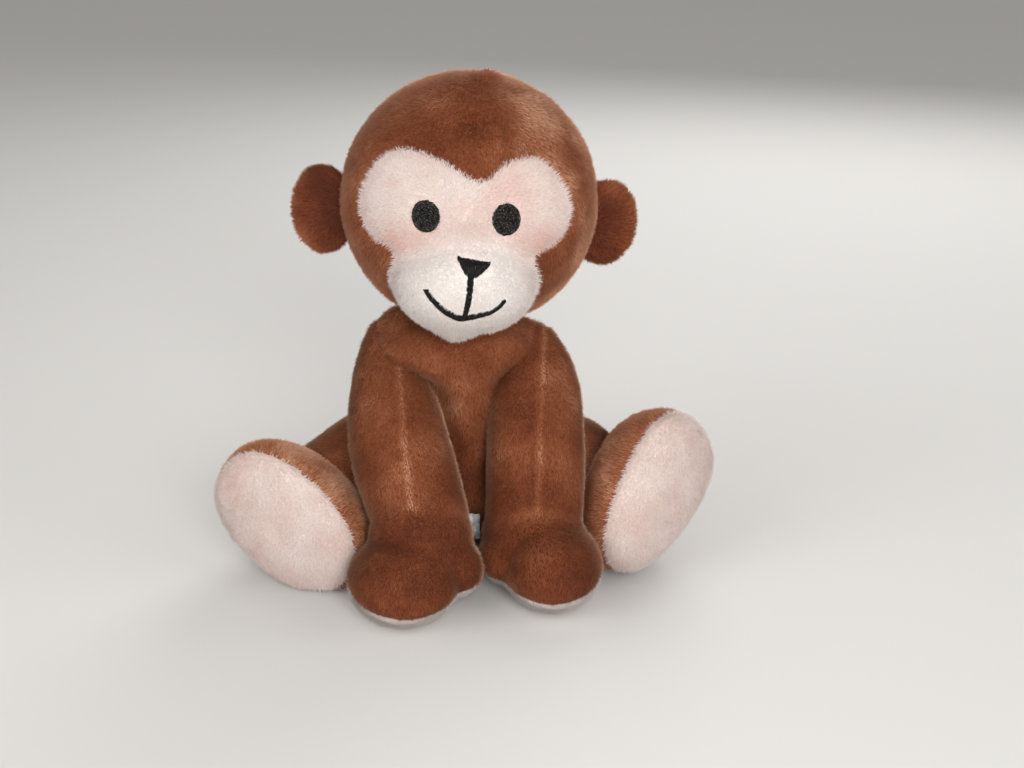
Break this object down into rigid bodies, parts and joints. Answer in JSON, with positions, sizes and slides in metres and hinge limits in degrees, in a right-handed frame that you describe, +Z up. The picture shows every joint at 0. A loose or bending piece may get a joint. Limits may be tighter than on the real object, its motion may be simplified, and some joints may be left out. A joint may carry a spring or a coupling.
{
  "type": "plush monkey",
  "caption": "Seated plush monkey with a round head, pale face and soles, leaning on its hands; sewn limbs, head and ears turn a little at their seams.",
  "frame": {"origin": "on the floor under the middle of the seat, in the flat bottom of the body", "axes": "+Z up, -Y the way the toy faces, +X to the toy's left"},
  "size_m": [0.1648, 0.1184, 0.165],
  "materials": {
    "brown_plush": "short-pile plush",
    "pale_plush": "fluffy plush",
    "black_thread": "satin-stitch embroidery",
    "brown_thread": "sewing thread",
    "white_label": "woven satin",
    "fibre_filling": "loose polyester fibre"
  },
  "bodies": {
    "torso": {"body_front_panel": "brown_plush", "body_back_panel": "brown_plush", "body_filling": "fibre_filling", "care_label": "white_label"},
    "neck": {"neck_stitching": "brown_thread"},
    "head": {"head_left_panel": "brown_plush", "head_right_panel": "brown_plush", "face_panel": "pale_plush", "head_filling": "fibre_filling", "nose": "black_thread", "mouth": "black_thread", "left_eye": "black_thread", "right_eye": "black_thread"},
    "left_ear": {"left_ear_front": "brown_plush", "left_ear_back": "brown_plush"},
    "right_ear": {"right_ear_front": "brown_plush", "right_ear_back": "brown_plush"},
    "left_arm": {"left_arm_outer_panel": "brown_plush", "left_arm_inner_panel": "brown_plush", "left_arm_filling": "fibre_filling"},
    "left_hand": {"left_hand_back": "brown_plush", "left_palm": "pale_plush", "left_hand_filling": "fibre_filling"},
    "right_arm": {"right_arm_outer_panel": "brown_plush", "right_arm_inner_panel": "brown_plush", "right_arm_filling": "fibre_filling"},
    "right_hand": {"right_hand_back": "brown_plush", "right_palm": "pale_plush", "right_hand_filling": "fibre_filling"},
    "left_leg": {"left_leg_outer_panel": "brown_plush", "left_leg_inner_panel": "brown_plush", "left_leg_filling": "fibre_filling"},
    "left_foot": {"left_sole": "pale_plush", "left_foot_upper": "brown_plush", "left_foot_filling": "fibre_filling"},
    "right_leg": {"right_leg_outer_panel": "brown_plush", "right_leg_inner_panel": "brown_plush", "right_leg_filling": "fibre_filling"},
    "right_foot": {"right_sole": "pale_plush", "right_foot_upper": "brown_plush", "right_foot_filling": "fibre_filling"}
  },
  "joints": [
    {"name": "head_nod", "type": "hinge", "parent": "torso", "child": "neck", "pos_m": [0, -0.02144, 0.076], "axis": [-1, 0, 0], "range_deg": [-15, 15], "stiffness_Nm_per_rad": 0.08},
    {"name": "head_turn", "type": "hinge", "parent": "neck", "child": "head", "pos_m": [0, -0.02144, 0.076], "axis": [0, 0, 1], "range_deg": [-35, 35], "stiffness_Nm_per_rad": 0.04},
    {"name": "left_ear_bend", "type": "hinge", "parent": "head", "child": "left_ear", "pos_m": [0.04079, -0.02144, 0.113], "axis": [0, 0, 1], "range_deg": [-20, 20], "stiffness_Nm_per_rad": 0.001},
    {"name": "right_ear_bend", "type": "hinge", "parent": "head", "child": "right_ear", "pos_m": [-0.04195, -0.02144, 0.121], "axis": [0, 0, 1], "range_deg": [-20, 20], "stiffness_Nm_per_rad": 0.001},
    {"name": "left_shoulder", "type": "hinge", "parent": "torso", "child": "left_arm", "pos_m": [0.0265, -0.01776, 0.077], "axis": [-1, 0, 0], "range_deg": [0, 45], "stiffness_Nm_per_rad": 0.012},
    {"name": "left_wrist", "type": "hinge", "parent": "left_arm", "child": "left_hand", "pos_m": [0.02362, -0.05368, 0.0217], "axis": [-1, 0, 0], "range_deg": [0, 20], "stiffness_Nm_per_rad": 0.006},
    {"name": "right_shoulder", "type": "hinge", "parent": "torso", "child": "right_arm", "pos_m": [-0.0265, -0.01776, 0.077], "axis": [-1, 0, 0], "range_deg": [0, 45], "stiffness_Nm_per_rad": 0.012},
    {"name": "right_wrist", "type": "hinge", "parent": "right_arm", "child": "right_hand", "pos_m": [-0.0219, -0.06139, 0.02769], "axis": [-1, 0, 0], "range_deg": [0, 20], "stiffness_Nm_per_rad": 0.006},
    {"name": "left_hip", "type": "hinge", "parent": "torso", "child": "left_leg", "pos_m": [0.022, -0.00355, 0.02], "axis": [0, 0, 1], "range_deg": [0, 25], "stiffness_Nm_per_rad": 0.02},
    {"name": "left_ankle", "type": "hinge", "parent": "left_leg", "child": "left_foot", "pos_m": [0.04816, -0.02971, 0.0155], "axis": [0, 0, 1], "range_deg": [0, 10], "stiffness_Nm_per_rad": 0.01},
    {"name": "right_hip", "type": "hinge", "parent": "torso", "child": "right_leg", "pos_m": [-0.022, -0.00355, 0.02], "axis": [0, 0, -1], "range_deg": [0, 25], "stiffness_Nm_per_rad": 0.02},
    {"name": "right_ankle", "type": "hinge", "parent": "right_leg", "child": "right_foot", "pos_m": [-0.05321, -0.03165, 0.0155], "axis": [0, 0, -1], "range_deg": [0, 10], "stiffness_Nm_per_rad": 0.01}
  ]
}
